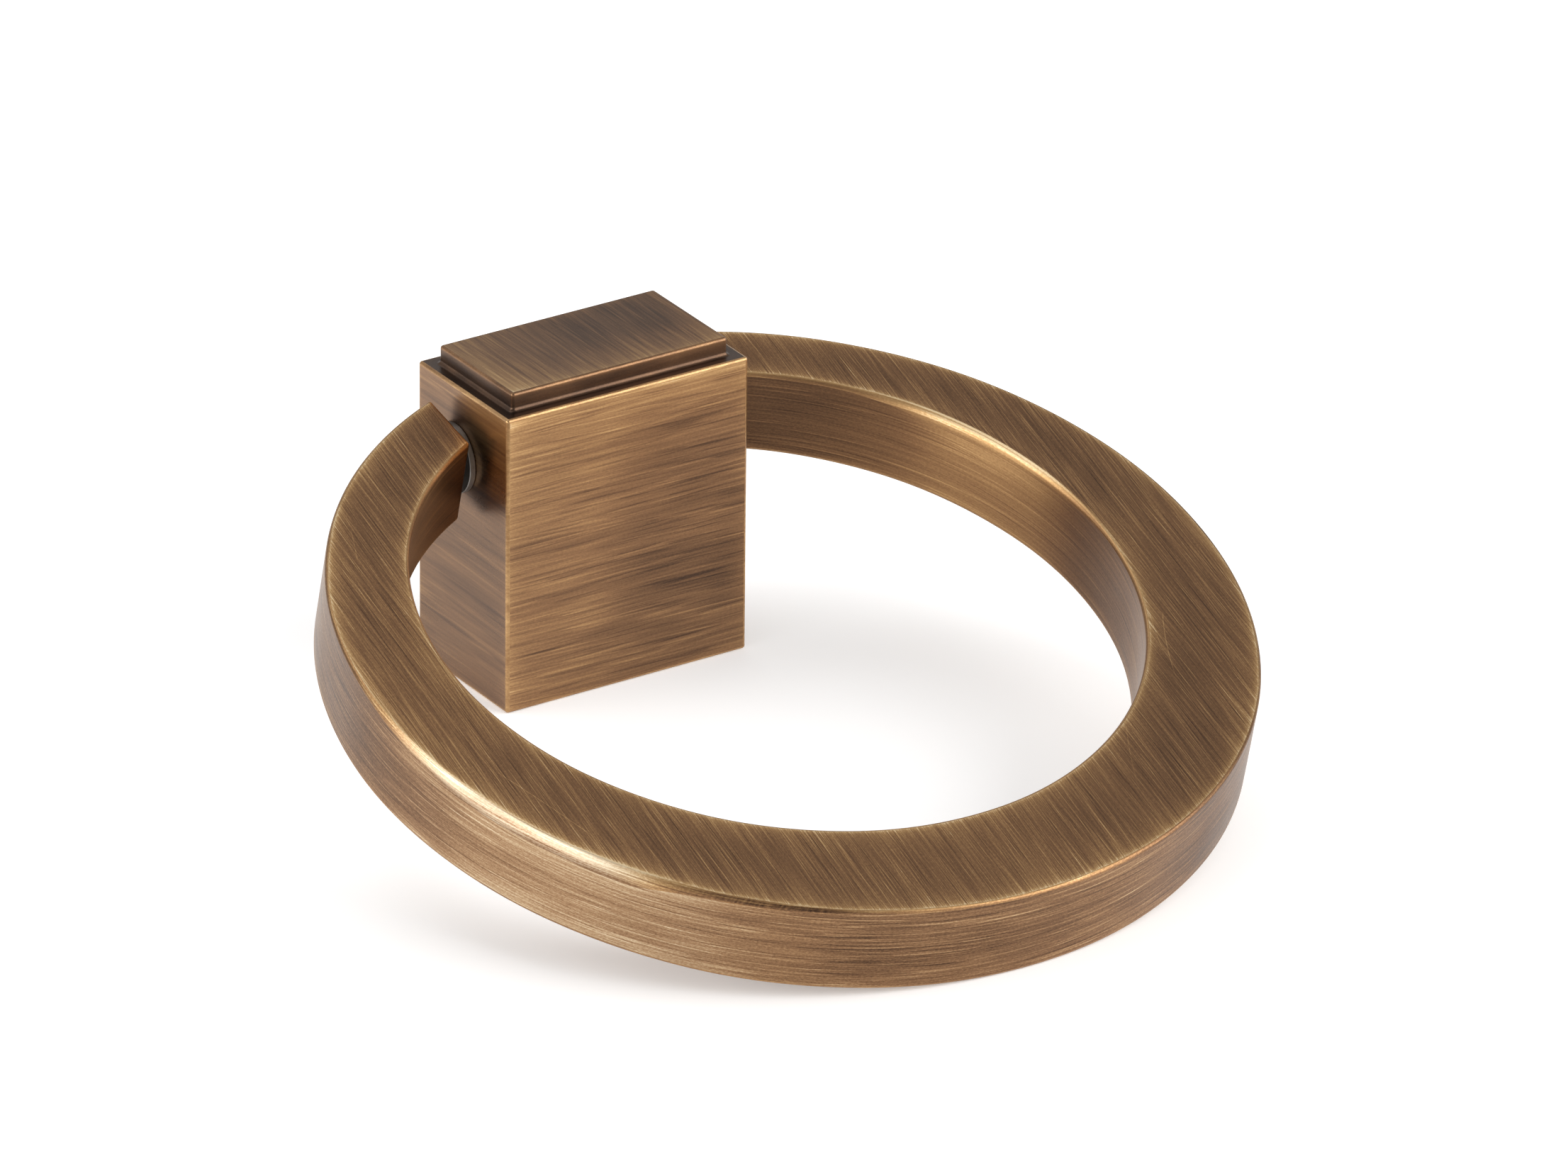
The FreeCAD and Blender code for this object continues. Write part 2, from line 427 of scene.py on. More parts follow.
def ring_piece():
    B = Builder()
    main = np.linspace(-1.0, 1.0, 901)
    kend = 6
    stations = []
    for k in range(kend, 0, -1):
        stations.append((-1.0, k / kend * math.pi / 2))
    stations += [(s, 0.0) for s in main]
    for k in range(1, kend + 1):
        stations.append((1.0, k / kend * math.pi / 2))
    s = np.array([q[0] for q in stations])
    beta = np.array([q[1] for q in stations])
    vk = RING_END_X + RING_END_R * (1 - np.sin(beta))
    inset = RING_END_R * (1 - np.cos(beta))
    ro, ri, h = RO - inset, RI + inset, RING_T / 2 - inset
    a_out = np.degrees(s * (math.pi - np.arcsin(vk / ro)))
    a_in = np.degrees(s * (math.pi - np.arcsin(vk / ri)))
    angle = [a_out, a_out, a_in, a_in]
    rad = [np.maximum(ring_radius(k, angle[k]) - inset, 0.03) for k in range(4)]
    I = len(s)
    KT, KW, KB = 6, 5, 12
    prof = [rounding(rad[k], ring_ease(k, angle[k]), ring_flat(k, angle[k]), KB) for k in range(4)]
    r_ot, r_ob, r_ib, r_it = rad
    d_ot, d_ob, d_ib, d_it = (q[1][:, -1] for q in prof)

    def on_circle(centre, rho, n):
        phi = s * (math.pi - np.arcsin(vk / rho))
        v, u = rho * np.sin(phi), centre + rho * np.cos(phi)
        return np.stack([v, u, np.broadcast_to(n, v.shape)], -1), np.stack([np.sin(phi), np.cos(phi)], -1), phi

    C, CI = RING_C, RING_C + RING_ECC
    regions = {}

    def put(name, pts, nrm, grain, edge, place):
        regions[name] = tuple(np.stack(x, 1) for x in (pts, nrm, grain, edge, place))

    def flat(name, side, r_in, r_out, sign):
        pin, _, ph_i = on_circle(CI, ri + r_in, sign * h)
        pout, _, ph_o = on_circle(C, ro - r_out, sign * h)
        W = np.linalg.norm(pout - pin, axis=1)
        rows = [[], [], [], [], []]
        for k in range(KT + 1):
            w = k / KT
            p = pin * (1 - w) + pout * w
            ga = -math.sin(GRAIN_TILT) * p[:, 0] + math.cos(GRAIN_TILT) * p[:, 1]
            gc = math.cos(GRAIN_TILT) * p[:, 0] + math.sin(GRAIN_TILT) * p[:, 1]
            off = 0.0 if sign > 0 else 300.0
            rows[0].append(p)
            rows[1].append(np.tile([0.0, 0.0, sign], (I, 1)))
            rows[2].append(np.stack([ga + off, gc], -1))
            rows[3].append(np.stack([w * W, (1 - w) * W], -1))
            rows[4].append(np.stack([np.degrees(ph_o), np.full(I, w)], -1))
        put(name, *rows)

    def bevel(name, kind, outer, top):
        rows = [[], [], [], [], []]
        x, y, beta, length = prof[kind]
        sign = 1 if top else -1
        for k in range(KB + 1):                # from the face to the wall
            n = (h - y[:, k]) * sign
            if outer:
                p, e, ph = on_circle(C, ro - rad[kind] + x[:, k], n)
                q = RO * ph
            else:
                p, e, ph = on_circle(CI, ri + rad[kind] - x[:, k], n)
                e = -e
                q = RI * ph + 500
            rows[0].append(p)
            rows[1].append(np.concatenate([e * np.sin(beta[:, k:k + 1]), sign * np.cos(beta[:, k:k + 1])], 1))
            d0, d1 = k / KB * length, (1 - k / KB) * length
            # the strokes of the wall run on over the rounding
            rows[2].append(np.stack([q, sign * (h - y[:, -1] + d1)], -1))
            rows[3].append(np.stack([d0, d1], -1))
            rows[4].append(np.stack([np.degrees(ph), np.full(I, k / KB)], -1))
        put(name, *rows)

    def wall(name, outer, r_top, r_bot):
        rows = [[], [], [], [], []]
        for k in range(KW + 1):
            w = k / KW
            n = (h - r_top) * (1 - w) - (h - r_bot) * w
            if outer:
                p, e, ph = on_circle(C, ro, n)
                q = RO * ph
            else:
                p, e, ph = on_circle(CI, ri, n)
                e = -e
                q = RI * ph
            rows[0].append(p)
            rows[1].append(np.concatenate([e, np.zeros((I, 1))], 1))
            rows[2].append(np.stack([q + (0 if outer else 500), n], -1))
            rows[3].append(np.stack([h - r_top - n, n + h - r_bot], -1))
            rows[4].append(np.stack([np.degrees(ph), np.full(I, w)], -1))
        put(name, *rows)

    flat("top", None, r_it, r_ot, 1)
    bevel("ot", 0, True, True)
    wall("outer", True, d_ot, d_ob)
    bevel("ob", 1, True, False)
    flat("bottom", None, r_ib, r_ob, -1)
    bevel("ib", 2, False, False)
    wall("inner", False, d_it, d_ib)
    bevel("it", 3, False, True)

    # one welded loop of points per station: each region runs on from the last
    order = [("top", 1), ("ot", 1), ("outer", 1), ("ob", -1), ("bottom", -1), ("ib", 1), ("inner", -1), ("it", -1)]
    end_dir = np.sign(s)[:, None] * np.array([[-1.0, 0.0, 0.0]])
    cb, sb = np.cos(beta)[:, None], np.sin(beta)[:, None]
    loop_pts, spans = [], {}
    for name, d in order:
        P = regions[name][0][:, ::d]
        start = len(loop_pts) - (1 if loop_pts else 0)
        for k in range(P.shape[1]):
            if loop_pts and k == 0:
                continue
            loop_pts.append(P[:, k])
        spans[name] = (start, P.shape[1])
    loop_pts = loop_pts[:-1]
    L = len(loop_pts)
    loc = np.stack(loop_pts, 1)

    def world(p):
        return PIVOT + p[..., :1] * AX_V + p[..., 1:2] * AX_U + p[..., 2:3] * AX_N

    def turn(n):
        return n[..., :1] * AX_V + n[..., 1:2] * AX_U + n[..., 2:3] * AX_N

    idx = B.add(world(loc))
    mat_of = {"top": 0, "bottom": 0, "outer": 1, "inner": 2, "ot": 4, "ob": 3, "it": 6, "ib": 3}
    for name, d in order:
        _, n, ga, ed, pl = (x[:, ::d] for x in regions[name])
        start, cnt = spans[name]
        cols = [(start + k) % L for k in range(cnt)]
        n = n * cb[:, None] + end_dir[:, None] * sb[:, None]
        B.quads(idx[:, cols], turn(n), {"grain": ga, "edge": ed, "place": pl}, mat_of[name])

    # flat ends with the bores for the pin
    for e, side in ((0, -1.0), (I - 1, 1.0)):
        lp = loc[e]
        ang = np.unwrap(np.arctan2(lp[:, 2], lp[:, 1]))
        # spaced more evenly round the bore than along the outline
        even = np.sign(ang[-1] - ang[0]) * 2 * math.pi * np.arange(L) / L
        ang = 0.3 * ang + 0.7 * (even + np.mean(ang - even))
        rows, maps = [idx[e]], [lp]
        for t in (0.35, 0.7):
            q = lp.copy()
            q[:, 1] = lp[:, 1] * (1 - t) + BORE_R * np.cos(ang) * t
            q[:, 2] = lp[:, 2] * (1 - t) + BORE_R * np.sin(ang) * t
            rows.append(B.add(world(q)))
            maps.append(q)
        rim = np.stack([np.full(L, side * RING_END_X), BORE_R * np.cos(ang), BORE_R * np.sin(ang)], -1)
        rows.append(B.add(world(rim)))
        maps.append(rim)
        close = list(range(L)) + [0]
        ridx = np.stack(rows, 0)[:, close]
        loc2 = np.stack(maps, 0)[:, close]
        nrm = np.broadcast_to(turn(np.array([-side, 0.0, 0.0])), ridx.shape + (3,))
        B.quads(ridx, nrm, {"grain": loc2[..., 2:0:-1] + 60.0, "edge": np.full(ridx.shape + (2,), 2.0)}, 5)
        deep = rim.copy()
        deep[:, 0] += side * BORE_DEPTH
        didx = B.add(world(deep))
        widx = np.stack([rows[-1], didx], 0)[:, close]
        wn = -np.stack([np.zeros(L), np.cos(ang), np.sin(ang)], -1)
        wn = np.broadcast_to(turn(wn)[close], widx.shape + (3,))
        gr = np.stack([np.stack([np.unwrap(ang[close]) * BORE_R, np.full(L + 1, d)], -1) for d in (0.0, BORE_DEPTH)], 0)
        B.quads(widx, wn, {"grain": gr + 80.0, "edge": np.full(widx.shape + (2,), 2.0)}, 5)
        B.poly(didx, turn(np.array([-side, 0.0, 0.0])), {"grain": deep[:, 1:] + 90.0, "edge": np.full((L, 2), 2.0)}, 5)
    return B


# ------------------------------------------------------------------ post mesh
def post_piece():
    B = Builder()
    MX, MY, KC, KR = 24, 14, 6, 6

    def loop(hx, hy, rc):
        """Rounded rectangle, anticlockwise from the left end of the front. Returns points, normals and side tags."""
        sx, sy = hx - rc, hy - rc
        pts, nrm, tag = [], [], []
        sides = [((-sx, -hy), (sx, -hy), (0, -1), MX), ((hx, -sy), (hx, sy), (1, 0), MY),
                 ((sx, hy), (-sx, hy), (0, 1), MX), ((-hx, sy), (-hx, -sy), (-1, 0), MY)]
        corners = [(sx, -sy), (sx, sy), (-sx, sy), (-sx, -sy)]
        for i, (a, b, n, m) in enumerate(sides):
            for k in range(m + 1):
                t = k / m
                pts.append((a[0] + (b[0] - a[0]) * t, a[1] + (b[1] - a[1]) * t))
                nrm.append(n)
                tag.append(i)
            a0 = math.atan2(n[1], n[0])
            for k in range(1, KC):
                an = a0 + k / KC * math.pi / 2
                d = (math.cos(an), math.sin(an))
                pts.append((corners[i][0] + rc * d[0], corners[i][1] + rc * d[1]))
                nrm.append(d)
                tag.append(10 + i)
        return np.array(pts), np.array(nrm), np.array(tag)

    hx, hy = POST_W / 2, POST_D / 2
    px, py = hx - STEP, hy - STEP
    top = POST_H + PAD_H
    rows = []          # (points, normals, band)

    def ring(hx_, hy_, rc, z, nz, band):
        p, n, tag = loop(hx_, hy_, rc)
        pts = np.concatenate([p, np.full((len(p), 1), z)], 1)
        nrm = np.concatenate([n * math.sqrt(max(0.0, 1 - nz * nz)), np.full((len(p), 1), nz)], 1)
        rows.append((pts, nrm, band, tag))

    for k in range(KR + 1):                     # foot rounding
        b = -math.pi / 2 + k / KR * math.pi / 2
        d = RIM_R * (1 - math.cos(b))
        ring(hx - d, hy - d, UPRIGHT_R - d, RIM_R + RIM_R * math.sin(b), math.sin(b), "foot")
    foot_end = len(rows) - 1
    nz = 22
    for k in range(1, nz + 1):                  # walls
        ring(hx, hy, UPRIGHT_R, RIM_R + (POST_H - 2 * RIM_R) * k / nz, 0.0, "wall")
    wall_end = len(rows) - 1
    for k in range(1, KR + 1):                  # rim of the step
        b = k / KR * math.pi / 2
        d = RIM_R * (1 - math.cos(b))
        ring(hx - d, hy - d, UPRIGHT_R - d, POST_H - RIM_R + RIM_R * math.sin(b), math.sin(b), "rim")
    rim_end = len(rows) - 1
    for t in (0.5, 1.0):                        # the step
        d0, d1 = RIM_R, STEP - COVE_R
        d = d0 + (d1 - d0) * t
        rc = (UPRIGHT_R - RIM_R) * (1 - t) + (PAD_UPRIGHT_R + COVE_R) * t
        ring(hx - d, hy - d, rc, POST_H, 1.0, "step")
    step_end = len(rows) - 1
    for k in range(1, KR + 1):                  # cove
        b = k / KR * math.pi / 2
        off = COVE_R * (1 - math.sin(b))
        ring(px + off, py + off, PAD_UPRIGHT_R + off, POST_H + COVE_R * (1 - math.cos(b)), math.cos(b), "cove")
    cove_end = len(rows) - 1
    for k in range(1, 5):                       # pad walls
        z0, z1 = POST_H + COVE_R, top - PAD_RIM_R
        ring(px, py, PAD_UPRIGHT_R, z0 + (z1 - z0) * k / 4, 0.0, "pad_wall")
    padw_end = len(rows) - 1
    for k in range(1, KR + 1):                  # pad rim
        b = k / KR * math.pi / 2
        d = PAD_RIM_R * (1 - math.cos(b))
        ring(px - d, py - d, PAD_UPRIGHT_R - d, top - PAD_RIM_R + PAD_RIM_R * math.sin(b), math.sin(b), "pad_rim")
    last = len(rows) - 1

    P = np.stack([r[0] for r in rows], 0)
    N = np.stack([r[1] for r in rows], 0)
    tag = rows[0][3]
    L = P.shape[1]
    idx = B.add(P)
    close = list(range(L)) + [0]
    idx, P, N = idx[:, close], P[:, close], N[:, close]

    def span(side):
        m = [i for i in range(L) if tag[i] == side]
        return m[0], m[-1]

    def maps(Pq, side):
        """Grain along the face, distances to its four borders."""
        x, y, z = Pq[..., 0], Pq[..., 1], Pq[..., 2]
        if side in (0, 2):
            al, half = x, hx
            g = np.stack([x + (0 if side == 0 else 200), z], -1)
        else:
            al, half = y, hy
            g = np.stack([y + (400 if side == 3 else 600), z], -1)
        return {"grain": g, "edge": np.stack([al + half, half - al], -1), "place": np.stack([POST_H - z, z], -1)}

    def block(r0, r1, mat_sides, mat_corners):
        for side in range(4):
            a, b = span(side)
            cs = list(range(a, b + 1))
            B.quads(idx[r0:r1 + 1][:, cs], N[r0:r1 + 1][:, cs], maps(P[r0:r1 + 1][:, cs], side), mat_sides[side])
            c0 = b
            c1 = b + KC
            cs = list(range(c0, c1 + 1))
            Pc = P[r0:r1 + 1][:, cs]
            arc = np.broadcast_to(np.linspace(0, 1, KC + 1) * UPRIGHT_R * 1.57, Pc.shape[:2])
            g = np.stack([arc + 0.3 * Pc[..., 2] + 50 * side, Pc[..., 2]], -1)
            e = np.stack([arc, arc.max() - arc], -1)
            pl = np.stack([POST_H - Pc[..., 2], Pc[..., 2]], -1)
            B.quads(idx[r0:r1 + 1][:, cs], N[r0:r1 + 1][:, cs], {"grain": g, "edge": e, "place": pl}, mat_corners)

    def band(r0, r1, mat):
        """A strip that runs all the way round, with its grain along the strip."""
        Pc = P[r0:r1 + 1]
        run = np.concatenate([[0], np.cumsum(np.linalg.norm(np.diff(P[r0, :, :2], axis=0), axis=1))])
        prof = np.concatenate([[0], np.cumsum(np.linalg.norm(np.diff(P[r0:r1 + 1, 5], axis=0), axis=1))])
        g = np.stack([np.broadcast_to(run, Pc.shape[:2]), np.broadcast_to(prof[:, None], Pc.shape[:2])], -1)
        e = np.stack([np.broadcast_to(prof[:, None], Pc.shape[:2]), np.broadcast_to(prof[-1] - prof[:, None], Pc.shape[:2])], -1)
        B.quads(idx[r0:r1 + 1], N[r0:r1 + 1], {"grain": g, "edge": e, "place": Pc[..., :2]}, mat)

    # 0 front/back  1 sides  2 edges  3 step and cove  4 pad top  5 foot  6 pad walls
    band(0, foot_end, 2)
    block(foot_end, wall_end, [0, 1, 0, 1], 2)
    band(wall_end, rim_end, 2)
    band(rim_end, cove_end, 3)
    band(cove_end, padw_end, 6)
    band(padw_end, last, 7)
    tp = P[last, :-1]
    g = np.stack([tp[:, 1], tp[:, 0]], -1)
    B.poly(idx[last, :-1], (0, 0, 1), {
        "grain": g, "edge": np.stack([tp[:, 0] + px, px - tp[:, 0]], -1),
        "place": np.stack([tp[:, 1] + py, py - tp[:, 1]], -1)}, 4)

    # underside with the tapped hole and its drill point
    bp = P[0, :-1]
    ang = np.arctan2(bp[:, 1], bp[:, 0])
    rim = np.stack([SCREW_R * np.cos(ang), SCREW_R * np.sin(ang), np.zeros(L)], -1)
    mid = bp * 0.5 + rim * 0.5
    r1, r2 = B.add(mid), B.add(rim)
    gidx = np.stack([idx[0, :-1], r1, r2], 0)[:, close]
    gp = np.stack([bp, mid, rim], 0)[:, close]
    B.quads(gidx, np.broadcast_to(np.array([0, 0, -1.0]), gidx.shape + (3,)), {"grain": gp[..., :2] + 30, "edge": np.full(gidx.shape + (2,), 3.0)}, 5)
    deep = rim + np.array([0, 0, SCREW_DEPTH])
    d1 = B.add(deep)
    widx = np.stack([r2, d1], 0)[:, close]
    wn = -np.stack([np.cos(ang), np.sin(ang), np.zeros(L)], -1)[close]
    un = np.unwrap(ang[close]) * SCREW_R
    gr = np.stack([np.stack([un, np.full(L + 1, z)], -1) for z in (0.0, SCREW_DEPTH)], 0)
    B.quads(widx, np.broadcast_to(wn, widx.shape + (3,)), {"grain": gr, "edge": np.full(widx.shape + (2,), 3.0)}, 5)
    tip = B.add(np.array([[0, 0, SCREW_DEPTH + SCREW_R / math.tan(math.radians(59))]]))
    for k in range(L):
        k2 = (k + 1) % L
        n = -np.array([math.cos(ang[k]), math.sin(ang[k]), 0.6])
        B.poly([d1[k], d1[k2], tip[0]], n / np.linalg.norm(n), {"grain": np.array([[0, 0], [.1, 0], [0, 1.0]]), "edge": np.full((3, 2), 3.0)}, 5)
    return B


# --------------------------------------------------------------- washer mesh
def washer_piece(side):
    B = Builder()
    seg, r = 120, 0.10
    prof = []          # (radius, height, normal radius, normal height)
    ri, ro, t = WASHER_RI, WASHER_RO, WASHER_T

    def arc(cr, ch, a0, a1, n):
        for k in range(n + 1):
            a = math.radians(a0 + (a1 - a0) * k / n)
            prof.append((cr + r * math.cos(a), ch + r * math.sin(a), math.cos(a), math.sin(a)))

    arc(ri + r, r, -90, -180, 4)
    arc(ri + r, t - r, 180, 90, 4)
    prof.append(((ri + ro) / 2, t, 0.0, 1.0))
    arc(ro - r, t - r, 90, 0, 5)
    arc(ro - r, r, 0, -90, 5)
    prof.append(((ri + ro) / 2, 0.0, 0.0, -1.0))
    prof = np.array(prof)
    a = np.linspace(0, 2 * math.pi, seg, endpoint=False)
    K = len(prof)

    def spin(rad, h):
        out = np.zeros((seg, K, 3))
        out[..., 0] = side * h[None, :]
        out[..., 1] = rad[None, :] * np.cos(a)[:, None]
        out[..., 2] = rad[None, :] * np.sin(a)[:, None]
        return out

    P = spin(prof[:, 0], prof[:, 1]) + np.array([side * POST_W / 2, PIVOT_Y, PIVOT_Z])
    N = spin(prof[:, 2], prof[:, 3])
    idx = B.add(P)
    rows, cols = list(range(seg)) + [0], list(range(K)) + [0]
    run = np.linspace(0, 2 * math.pi, seg + 1)
    step = np.concatenate([[0], np.cumsum(np.linalg.norm(np.diff(prof[cols][:, :2], axis=0), axis=1))])
    g = np.stack(np.meshgrid(run * ro, step, indexing="ij"), -1)
    e = np.stack(np.meshgrid(run, prof[cols][:, 0], indexing="ij"), -1)
    B.quads(idx[rows][:, cols], N[rows][:, cols], {"grain": g, "edge": e}, 0)
    return B


# ------------------------------------------------------------------ materials
def top_extra(g, f, height, u, v):
    ct, st = math.cos(GRAIN_TILT), math.sin(GRAIN_TILT)

    def loc(p):
        return (-st * p[0] + ct * p[1], ct * p[0] + st * p[1])

    # lighter at the front, a little darker at the back on the right
    ang, w = g.uv("place")
    near = g.remap(w, 0.0, 0.12, 1.0, 0.0, "SMOOTHSTEP")
    f = g.add(f, g.mul(g.mul(near, g.win(ang, 86, 98, 122, 132)), -0.24))
    f = g.add(f, g.mul(g.mul(near, g.win(ang, -126, -116, -84, -72)), -0.07))
    f = g.add(f, g.remap(u, 5.0, 66.0, -0.035, 0.035))
    f = g.add(f, g.remap(v, 0.0, 38.0, 0.0, -0.03))
    for p0, p1, w, bend, amp in (
            ((-33.5, 40.5), (-30.2, 52.0), 0.055, 0.10, 0.22),
            ((28.6, 43.6), (24.5, 52.0), 0.05, -0.25, 0.22),
            ((27.6, 43.0), (25.6, 48.4), 0.045, -0.10, 0.16),
            ((-27.9, 9.2), (-29.8, 13.6), 0.05, 0.05, 0.16),
            ((14.0, 62.0), (17.5, 55.0), 0.045, 0.12, 0.14)):
        s = g.line(u, v, loc(p0), loc(p1), w, bend)
        f = g.add(f, g.mul(s, amp))
    return f, height


def outer_extra(g, f, height, u, v):
    ang, w = g.uv("place")
    # painted highlight on the wall below the lit part of the edge, with more just under the upper rounding; browner on
    # the far left, round the front and on the right
    painted_highlight = g.win(ang, -84, -66, -48, -34)
    f = g.add(f, g.mul(painted_highlight, g.add(g.mul(g.math("ABSOLUTE", g.add(w, -0.5)), 0.16), 0.12)))
    under = g.remap(w, 0.0, 0.28, 1.0, 0.0, "SMOOTHSTEP")
    f = g.add(f, g.mul(g.mul(g.win(ang, -94, -80, -52, -40), under), 0.09))
    f = g.add(f, g.mul(g.win(ang, -124, -110, -92, -82), -0.07))
    f = g.add(f, g.mul(g.mul(g.win(ang, -104, -94, -84, -74), g.win(w, 0.15, 0.4, 0.75, 0.95)), -0.07))
    f = g.add(f, g.mul(g.win(ang, -34, -24, 4, 18), -0.06))
    f = g.add(f, g.mul(g.mul(g.win(ang, -32, -22, -8, 2), g.win(w, -0.3, -0.1, 0.6, 0.8)), -0.05))
    f = g.add(f, g.mul(g.win(ang, 16, 30, 44, 50), -0.17))
    # pale colours at 0.6 over the whole wall for its own paler tone, rising to full in the lit band on the left of the
    # front as a painted creamy highlight
    return f, height, g.add(g.mul(g.win(ang, -102, -80, -46, -30), 0.4), 0.6)


def inner_extra(g, f, height, u, v):
    ang, w = g.uv("place")
    # painted highlight at the back on the right, mostly in the upper half; brown beside it and towards the post
    painted_highlight = g.win(ang, 92, 102, 116, 130)
    f = g.add(f, g.mul(painted_highlight, 0.06))
    f = g.add(f, g.mul(g.mul(painted_highlight, g.remap(w, 0.0, 0.6, 1.0, 0.0, "SMOOTHSTEP")), 0.17))
    f = g.add(f, g.mul(g.win(ang, 62, 72, 88, 97), -0.08))
    f = g.add(f, g.mul(g.remap(ang, 118, 146, 0.0, 1.0, "SMOOTHSTEP"), -0.20))
    return f, height


def bevel_extra(g, f, height, u, v):
    ang, w = g.uv("place")
    # left bare where it was rubbed most, with a painted highlight over the band that the left lamps light; still brown
    # further round
    bright = g.win(ang, -98, -78, -52, -42)
    down = g.remap(w, 0.15, 1.0, 1.0, 0.0, "SMOOTHSTEP")
    f = g.add(f, g.mul(down, g.remap(ang, -12, 12, 0.10, 0.02)))
    f = g.add(f, g.mul(bright, g.remap(w, 0.45, 1.0, 0.24, 0.10, "SMOOTHSTEP")))
    # fine lines along the bare band
    f = g.add(f, g.mul(g.mul(bright, g.streak(u, v, 0.12, 6.0, 23.0, 2.0)), 0.13))
    f = g.add(f, g.mul(g.win(ang, 4, 22, 44, 50), -0.15))
    dark = g.win(ang, -47, -39, -30, -25)
    # short slanting strokes left in the brown
    su = g.add(g.mul(u, 0.5), g.mul(v, 0.87))
    sv = g.add(g.mul(v, 0.5), g.mul(u, -0.87))
    n = g.streak(su, sv, 0.5, 3.4, 21.0, 2.0)
    mid = g.win(w, 0.10, 0.30, 0.70, 1.0)
    f = g.add(f, g.mul(g.mul(dark, mid), g.add(g.mul(n, 0.20), -0.28)))
    # the pale, creamy colours in that band are a painted highlight of the lacquer
    return f, height, g.mul(g.win(ang, -94, -78, -58, -47), g.remap(w, 0.02, 0.12, 0.0, 1.0, "SMOOTHSTEP"))


def bevel_in_extra(g, f, height, u, v):
    ang, w = g.uv("place")
    # lighter towards the face edge where it is worn (down), and a painted highlight over the wide rounding at the back
    # on the right (bright)
    bright = g.win(ang, 86, 106, 120, 142)
    down = g.remap(w, 0.15, 1.0, 1.0, 0.0, "SMOOTHSTEP")
    f = g.add(f, g.mul(down, 0.10))
    f = g.add(f, g.mul(bright, g.add(g.mul(down, 0.22), 0.12)))
    f = g.add(f, g.mul(g.remap(ang, 118, 146, 0.0, 1.0, "SMOOTHSTEP"), 0.05))
    return f, height


OUTER = dict(
    layers=((0.03, 0.7, 0.04, 1.4, 1.5, 2.0, 0.6), (0.06, 3.0, 0.05, 0.7, 2.5, 2.0, 0.0), (0.12, 7.0, 0.085, 0.4, 4.5, 2.0, 0.0),
            (0.35, 5.0, 0.06, 0.3, 5.5, 2.0, 0.0)),
    scratches=((0.07, 5.4, 0.43, 0.18, 0.9, 45.0, 0.0), (0.10, 6.2, 0.45, 0.16, 0.8, 46.0, 1.6),
               (0.08, 5.6, 0.41, -0.16, -0.8, 47.0, 0.6), (0.16, 8.0, 0.41, 0.13, 0.5, 61.0, -0.8)),
    cloud=(0.10, 0.05), speckle=0.14, rough=0.38, aniso=0.65, coat=0.15)
INNER = dict(
    layers=((0.03, 0.7, 0.04, 1.3, 1.7, 2.0, 0.0), (0.06, 3.0, 0.05, 0.8, 2.7, 2.0, 0.5), (0.11, 7.0, 0.06, 0.4, 4.7, 1.0, 0.0)),
    scratches=((0.06, 4.2, 0.44, 0.12, 0.8, 48.0, 0.0), (0.07, 4.4, 0.44, -0.11, -0.8, 49.0, 0.6)),
    cloud=(0.08, 0.05), speckle=0.08, rough=0.38, aniso=0.65, coat=0.15)
ring_top = metal(
    "ring_top", base=0.32, coat=0.12,
    layers=((0.04, 0.9, 0.022, 0.9, 1.0, 2.0, 0.0), (0.08, 4.4, 0.055, 0.5, 2.0, 2.0, 1.0), (0.12, 8.5, 0.085, 0.3, 4.0, 1.0, -0.8)),
    scratches=((0.06, 8.2, 0.42, 0.16, 0.6, 41.0, 0.0), (0.08, 8.8, 0.44, 0.16, 0.5, 42.0, 1.8),
               (0.07, 8.4, 0.46, 0.15, 0.5, 43.0, -2.4), (0.06, 7.6, 0.41, -0.15, -0.5, 44.0, 0.6),
               (0.16, 11.0, 0.41, 0.13, 0.4, 62.0, 0.8)),
    cloud=(0.045, 0.05), speckle=0.11, 
    wear=(("edge", 0, 1.6, 0.23), ("edge", 0, 0.20, 0.30), ("edge", 1, 1.4, 0.27), ("edge", 1, 0.20, 0.30)),
    rough=0.36, aniso=0.6, extra=top_extra)
ring_outer = metal(
    "ring_outer", base=0.435, wear=(("edge", 1, 0.45, 0.12),), pale=PALE_AND_SHEEN, extra=outer_extra, **OUTER)
ring_inner = metal("ring_inner", base=0.43, wear=(("edge", 1, 0.4, 0.10),), extra=inner_extra, **INNER)
ring_edge = metal(
    "ring_edge", base=0.60,
    layers=((0.25, 1.6, 0.07, 0.6, 6.0, 2.0, 0.0), (0.5, 4.0, 0.08, 0.4, 7.0, 2.0, 20.0)),
    cloud=(0.10, 0.08), speckle=0.10, rough=0.40, aniso=0.2)
ring_bevel = metal(
    "ring_bevel", base=0.435, wear=(("edge", 0, 0.12, 0.24),), pale=RUBBED_AND_SHEEN, extra=bevel_extra, **OUTER)
ring_bevel_in = metal("ring_bevel_in", base=0.43, wear=(("edge", 0, 0.12, 0.26),), extra=bevel_in_extra, **INNER)
ring_end = metal(
    "ring_end", base=0.44,
    layers=((0.12, 1.0, 0.08, 1.2, 8.0, 2.0, 0.0), (0.2, 3.0, 0.10, 0.8, 9.0, 2.0, 0.0)),
    cloud=(0.10, 0.06), speckle=0.05, rough=0.38, aniso=0.4)


